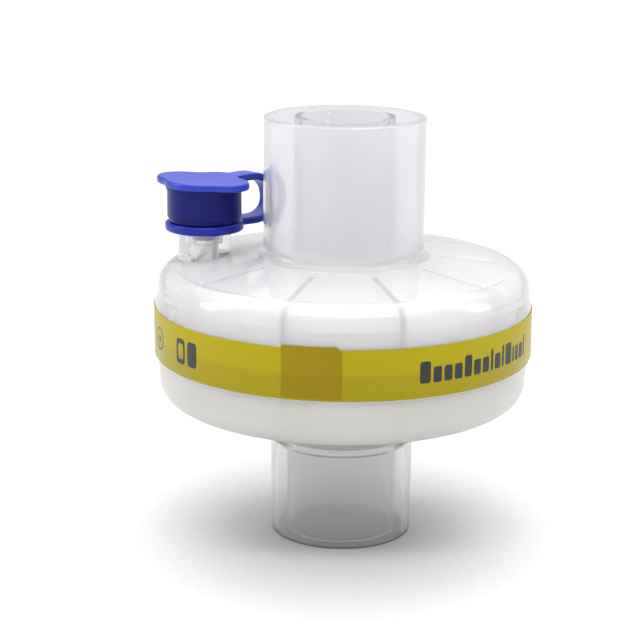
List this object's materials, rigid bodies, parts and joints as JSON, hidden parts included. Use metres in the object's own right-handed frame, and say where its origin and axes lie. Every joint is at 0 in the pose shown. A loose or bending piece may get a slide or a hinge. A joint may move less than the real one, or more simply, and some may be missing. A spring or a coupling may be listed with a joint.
{
  "type": "breathing circuit filter",
  "caption": "Round breathing circuit filter with coaxial cone connectors above and below, a wrapped label and a sampling port closed by a tethered cap.",
  "frame": {"origin": "centre of the lower connector's rim plane, on the airway axis", "axes": "+Z along the airway axis towards the upper connector, -Y towards the label's lap, -X towards the sampling port"},
  "size_m": [0.0582, 0.0584, 0.0654],
  "materials": {
    "clear_shell": "glossy natural polypropylene, see-through",
    "milky_shell": "frosted milky polypropylene",
    "media": "white nonwoven",
    "label": "satin printed film",
    "cap_plastic": "satin soft polyethylene"
  },
  "bodies": {
    "housing": {"upper_housing": "clear_shell", "lower_housing": "milky_shell", "filter_media": "media", "label_band": "label"},
    "tether": {"tether_ring": "cap_plastic", "cap_strap": "cap_plastic"},
    "cap": {"port_cap": "cap_plastic"}
  },
  "joints": [
    {"name": "ring_turn", "type": "hinge", "parent": "housing", "child": "tether", "pos_m": [-0.02146, 0.00131, 0.04818], "axis": [0, 0, 1], "range_deg": [-6, 268]},
    {"name": "cap_lift", "type": "slide", "parent": "tether", "child": "cap", "axis": [0, 0, 1], "range_m": [0, 0.009], "deforming": ["cap_strap"]}
  ]
}
